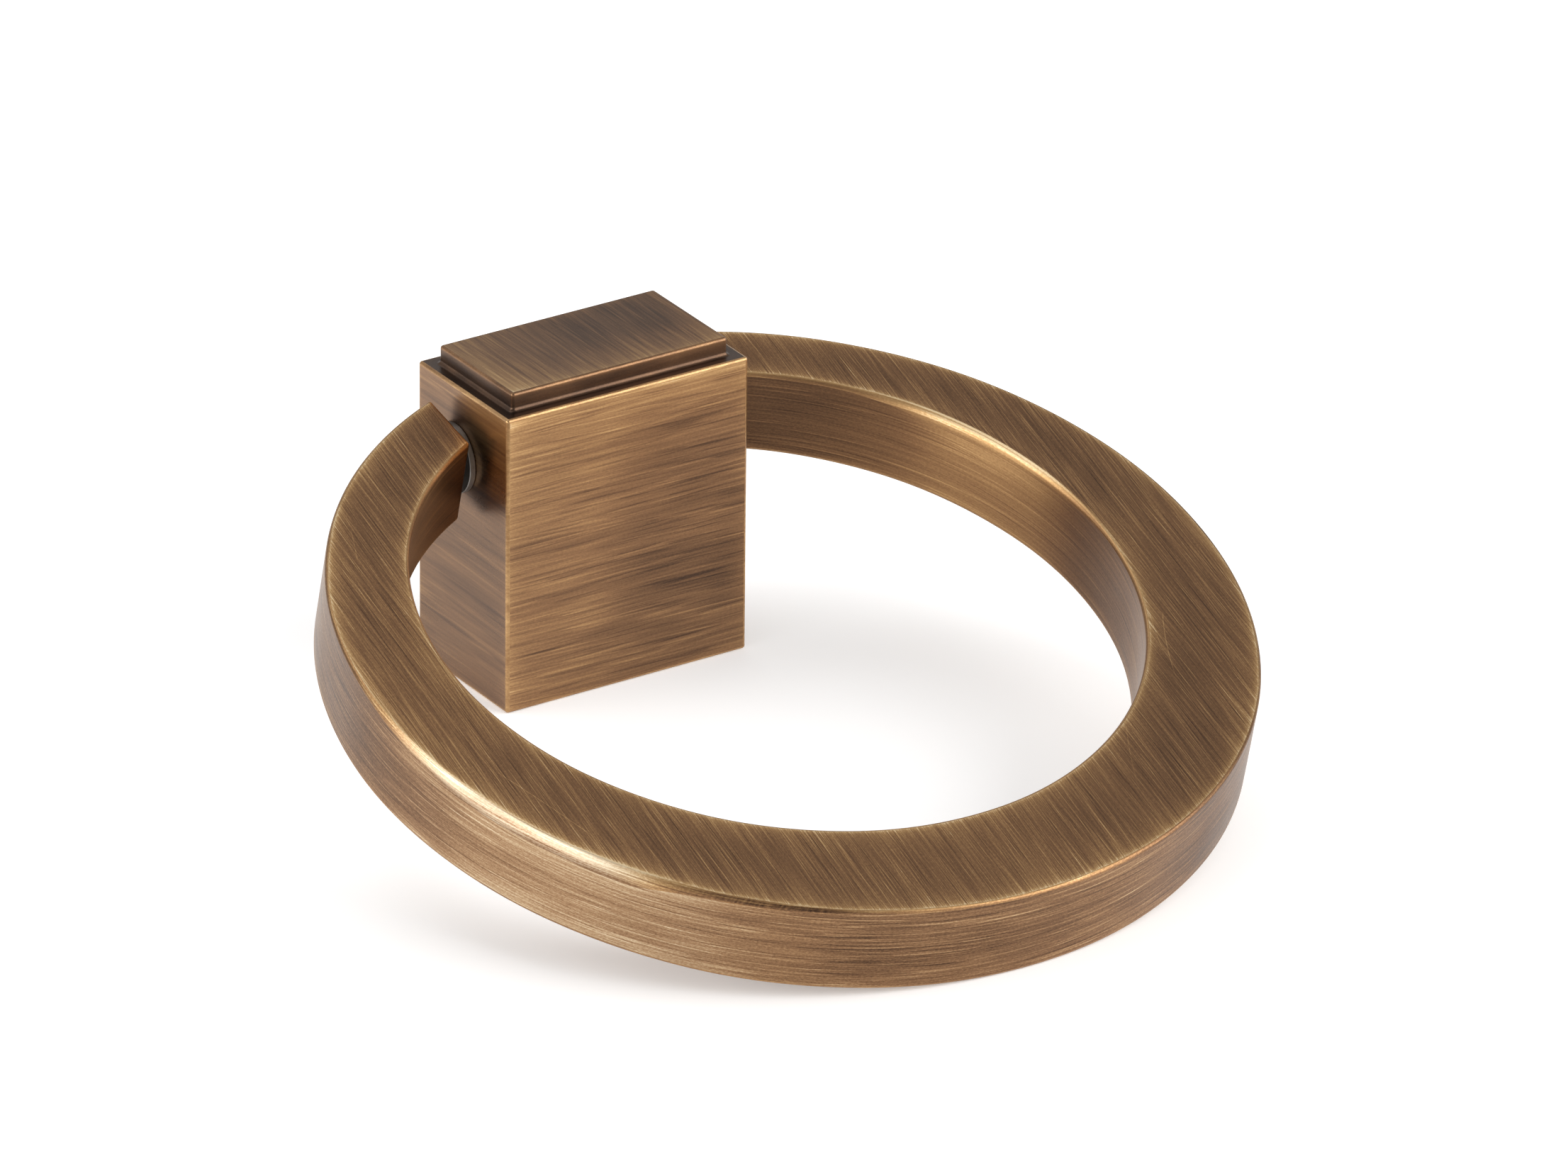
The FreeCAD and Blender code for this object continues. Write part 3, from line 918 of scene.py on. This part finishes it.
def front_extra(g, f, height, u, v):
    d_top, d_bot = g.uv("place")
    x = g.add(g.uv("edge")[0], -0.5 * POST_W)
    n = g.noise(g.comb(g.mul(u, 0.055), g.mul(v, 0.16), 31.0), 1.0, 3.0, 0.6)
    n = g.remap(n, 0.3, 0.7, -1.0, 1.0)
    mid = g.win(d_top, 3.0, 9.0, 18.0, 25.0)
    right = g.win(x, -6.0, 3.0, 9.0, 12.0)
    f = g.add(f, g.mul(g.mul(mid, right), g.add(g.mul(n, 0.045), -0.070)))
    f = g.add(f, g.mul(g.win(d_top, 9.0, 15.0, 20.0, 26.0), -0.03))
    # a little darker from left to right
    f = g.add(f, g.mul(x, -0.0035))
    return f, height


post_front = metal(
    "post_front", base=0.415,
    layers=((0.03, 0.55, 0.045, 1.8, 1.2, 2.0, 0.6), (0.07, 2.2, 0.055, 0.9, 2.2, 2.0, -0.8), (0.14, 4.6, 0.08, 0.5, 4.2, 1.0, 0.0)),
    scratches=((0.08, 3.4, 0.40, 0.10, 0.6, 51.0, 0.0), (0.10, 3.9, 0.42, 0.10, 0.5, 52.0, -2.2),
               (0.09, 3.3, 0.38, -0.12, -0.5, 53.0, 0.8), (0.10, 3.8, 0.40, -0.11, -0.5, 54.0, -1.6)),
    cloud=(0.05, 0.06), speckle=0.07,
    wear=(("place", 0, 1.9, 0.27), ("edge", 0, 0.9, 0.17), ("edge", 1, 0.6, 0.10), ("place", 1, 0.5, 0.08)),
    rough=0.36, aniso=0.65, wobble=0.10, extra=front_extra)


def side_extra(g, f, height, u, v):
    y = g.add(u, -400.0)
    # painted reflection: the upper front of the left face is lightened where it mirrors the ring's warm inner wall
    m = g.mul(g.win(y, -8.0, -7.0, -2.5, 1.5), g.remap(v, 17.5, 22.0, 0.0, 1.0, "SMOOTHSTEP"))
    f = g.add(f, g.mul(m, 0.29))
    f = g.add(f, g.mul(g.remap(v, 12.0, 17.0, 0.0, 1.0, "SMOOTHSTEP"), -0.03))
    f = g.add(f, g.mul(g.win(v, 5.0, 9.0, 14.0, 18.0), -0.07))
    return f, height


post_side = metal(
    "post_side", base=0.395,
    layers=((0.04, 0.45, 0.05, 1.4, 1.4, 2.0, 0.0), (0.08, 1.2, 0.07, 0.9, 2.4, 2.0, 1.0), (0.14, 3.6, 0.05, 0.4, 4.4, 1.0, 0.0)),
    scratches=((0.08, 1.9, 0.34, 0.07, 0.7, 55.0, 0.0), (0.08, 1.8, 0.34, -0.07, -0.7, 56.0, 1.5)),
    cloud=(0.06, 0.06), speckle=0.03,
    wear=(("place", 0, 0.7, 0.14), ("edge", 0, 0.6, 0.12), ("edge", 1, 0.6, 0.12), ("place", 1, 0.5, 0.06)),
    rough=0.30, aniso=0.5, bumps=0.6, extra=side_extra)
post_edge = metal(
    "post_edge", base=0.66,
    layers=((0.3, 1.0, 0.07, 0.6, 6.2, 2.0, 0.0), (0.6, 3.0, 0.08, 0.4, 7.2, 2.0, 15.0)),
    cloud=(0.12, 0.08), speckle=0.08, rough=0.38, aniso=0.1)
post_step = metal(
    "post_step", base=0.10,
    layers=((0.2, 0.8, 0.05, 0.6, 6.4, 2.0, 0.0), (0.5, 2.5, 0.05, 0.5, 7.4, 2.0, 0.0)),
    cloud=(0.15, 0.08), speckle=0.04, rough=0.34, aniso=0.1)


def pad_extra(g, f, height, u, v):
    # browner in the middle towards the back
    y, x = u, v
    n = g.noise(g.comb(g.mul(u, 0.10), g.mul(v, 0.22), 27.0), 1.0, 3.0, 0.6)
    n = g.remap(n, 0.3, 0.7, -1.0, 1.0)
    m = g.mul(g.win(x, -6.0, 0.0, 7.0, 10.5), g.win(y, -4.0, 0.5, 4.0, 6.0))
    f = g.add(f, g.mul(m, g.add(g.mul(n, 0.06), -0.10)))
    f = g.add(f, g.mul(x, -0.005))
    return f, height


pad_top = metal(
    "pad_top", base=0.345,
    layers=((0.06, 0.7, 0.045, 1.0, 1.6, 2.0, 0.0), (0.11, 2.6, 0.06, 0.7, 2.6, 2.0, 1.0), (0.20, 6.0, 0.06, 0.3, 4.6, 1.0, 0.0)),
    scratches=((0.11, 3.6, 0.32, 0.08, 0.6, 57.0, 0.0), (0.12, 4.2, 0.34, 0.08, 0.5, 58.0, 2.5),
               (0.12, 3.6, 0.34, -0.08, -0.5, 59.0, -1.0)),
    cloud=(0.07, 0.05), speckle=0.05,
    wear=(("edge", 0, 2.4, 0.20), ("edge", 0, 0.4, 0.16), ("edge", 1, 0.8, 0.12),
          ("place", 0, 2.2, 0.24), ("place", 0, 0.4, 0.18), ("place", 1, 0.6, 0.08)),
    rough=0.38, aniso=0.6, coat=0.2, extra=pad_extra)
post_foot = metal(
    "post_foot", base=0.40,
    layers=((0.12, 1.0, 0.10, 1.2, 8.5, 2.0, 0.0), (0.2, 3.0, 0.12, 0.8, 9.5, 2.0, 0.0)),
    cloud=(0.10, 0.08), speckle=0.05, rough=0.38, aniso=0.4)
pad_wall = metal(
    "pad_wall", base=0.09,
    layers=((0.08, 1.0, 0.05, 0.8, 6.8, 2.0, 0.0), (0.2, 3.0, 0.05, 0.5, 7.8, 2.0, 0.0)),
    cloud=(0.12, 0.10), speckle=0.04, wear=(("edge", 1, 0.20, 0.26),), rough=0.36, aniso=0.3)
pad_rim = metal(
    "pad_rim", base=0.42,
    layers=((0.3, 1.0, 0.07, 0.6, 6.3, 2.0, 0.0), (0.6, 3.0, 0.08, 0.4, 7.3, 2.0, 15.0)),
    cloud=(0.12, 0.08), speckle=0.08, rough=0.40, aniso=0.1)

STEEL = [(0.0, (0.10, 0.097, 0.093)), (0.5, (0.25, 0.243, 0.232)), (1.0, (0.48, 0.465, 0.44))]
washer_mat = metal(
    "washer_steel", base=0.50,
    layers=((0.10, 1.5, 0.10, 0.6, 12.0, 2.0, 0.0), (0.3, 5.0, 0.08, 0.3, 13.0, 2.0, 0.0)),
    cloud=(0.2, 0.12), speckle=0.08, rough=0.42, aniso=0.3, coat=0.0, stops=STEEL)


def plain_steel(name):
    """Ground steel for the pin, which has no grain map of its own."""
    g = G(name)
    tc = g.node("ShaderNodeTexCoord")
    s = g.node("ShaderNodeSeparateXYZ")
    g.put(s.inputs[0], tc.outputs["Object"])
    vec = g.comb(g.mul(s.outputs[0], 9000.0), g.mul(s.outputs[1], 700.0), g.mul(s.outputs[2], 700.0))
    n = g.noise(vec, 1.0, 3.0, 0.6)
    g.put(g.bsdf.inputs["Base Color"], g.ramp(n, [(0.3, (0.30, 0.295, 0.285)), (0.7, (0.58, 0.57, 0.55))]))
    g.bsdf.inputs["Metallic"].default_value = 1.0
    g.put(g.bsdf.inputs["Roughness"], g.remap(n, 0.3, 0.7, 0.22, 0.36))
    b = g.node("ShaderNodeBump")
    b.inputs["Strength"].default_value = 1.0
    b.inputs["Distance"].default_value = 1e-6
    g.put(b.inputs["Height"], n)
    g.put(g.bsdf.inputs["Normal"], b.outputs[0])
    return g.mat


# --------------------------------------------------------------------- pieces
ring = ring_piece().make("ring_visual", [ring_top, ring_outer, ring_inner, ring_edge, ring_bevel, ring_end, ring_bevel_in])
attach(ring, "ring_body")
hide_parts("ring")

post = post_piece().make("post_visual", [post_front, post_side, post_edge, post_step, pad_top, post_foot, pad_wall, pad_rim])
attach(post, "post_body")
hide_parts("post")

for nm, side in (("washer_left", -1.0), ("washer_right", 1.0)):
    w = washer_piece(side).make(nm + "_visual", [washer_mat])
    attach(w, "post_body")
    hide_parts(nm)

pin = frame["nodes"]["pivot_pin"]
pin_mat = plain_steel("pin_steel")
for sl in pin.material_slots:
    sl.material = pin_mat
if not pin.material_slots:
    pin.data.materials.append(pin_mat)

# ---------------------------------------------------------------------- stage
fm = bpy.data.meshes.new("floor")
fm.from_pydata([(-3, -3, -0.00002), (3, -3, -0.00002), (3, 3, -0.00002), (-3, 3, -0.00002)], [], [(0, 1, 2, 3)])
floor = bpy.data.objects.new("floor", fm)
bpy.context.scene.collection.objects.link(floor)
gf = G("floor_paper")
tc = gf.node("ShaderNodeTexCoord")
nf = gf.noise(tc.outputs["Object"], 40.0, 3.0, 0.5)
gf.put(gf.bsdf.inputs["Base Color"], gf.ramp(nf, [(0.3, (0.885, 0.885, 0.885)), (0.7, (0.90, 0.90, 0.90))]))
gf.bsdf.inputs["Roughness"].default_value = 0.9
gf.bsdf.inputs["Emission Color"].default_value = (1.0, 1.0, 1.0, 1.0)
gf.bsdf.inputs["Emission Strength"].default_value = 0.25
gf.bsdf.inputs["Specular IOR Level"].default_value = 0.0
fm.materials.append(gf.mat)

# --------------------------------------------------------------------- lights
scene = bpy.context.scene
scene.view_settings.view_transform = "Standard"
scene.view_settings.look = "None"
world = scene.world or bpy.data.worlds.new("World")
scene.world = world
world.use_nodes = True
bg = world.node_tree.nodes["Background"]
bg.inputs["Color"].default_value = (1.0, 1.0, 1.0, 1.0)
bg.inputs["Strength"].default_value = 0.55


def softbox(name, direction, dist, size, radiance, target=(0.0, -0.025, 0.01)):
    d = Vector(direction).normalized()
    lamp = bpy.data.lights.new(name, "AREA")
    lamp.shape = "RECTANGLE"
    lamp.size, lamp.size_y = size
    lamp.energy = radiance * math.pi * size[0] * size[1]
    ob = bpy.data.objects.new(name, lamp)
    ob.location = Vector(target) + d * dist
    ob.rotation_euler = d.to_track_quat("Z", "Y").to_euler()
    scene.collection.objects.link(ob)
    return ob


def around(az, el):
    """Direction from its bearing and its height above the floor, in degrees."""
    a, e = math.radians(az), math.radians(el)
    return math.cos(a) * math.cos(e), math.sin(a) * math.cos(e), math.sin(e)


softbox("left_wide", around(173, 12), 0.9, (1.0, 0.36), 4.7)
softbox("left_back", around(150, 34), 0.9, (0.45, 0.36), 1.5)
softbox("right_front", around(315, 25), 0.9, (1.04, 0.8), 3.8)
softbox("above", around(100, 65), 0.9, (0.6, 0.6), 1.15)
softbox("left_low", around(194, 4), 0.9, (0.5, 0.11), 1.8)

# --------------------------------------------------------------------- camera
cam_data = bpy.data.cameras.new("camera")
cam_data.sensor_fit = "HORIZONTAL"
cam_data.sensor_width = 36.0
cam_data.lens = 324.1169
cam_data.clip_start, cam_data.clip_end = 0.05, 50.0
cam = bpy.data.objects.new("camera", cam_data)
right = Vector((0.8372999661, -0.5466511526, 0.0100640040))
up = Vector((0.2302044165, 0.3691782960, 0.9003961975))
back = Vector((-0.4959180310, -0.7515849274, 0.4349544843))
m = Matrix((right, up, back)).transposed().to_4x4()
m.translation = Vector((-0.5629529188, -0.8833194501, 0.5117995459))
cam.matrix_world = m
scene.collection.objects.link(cam)
scene.camera = cam
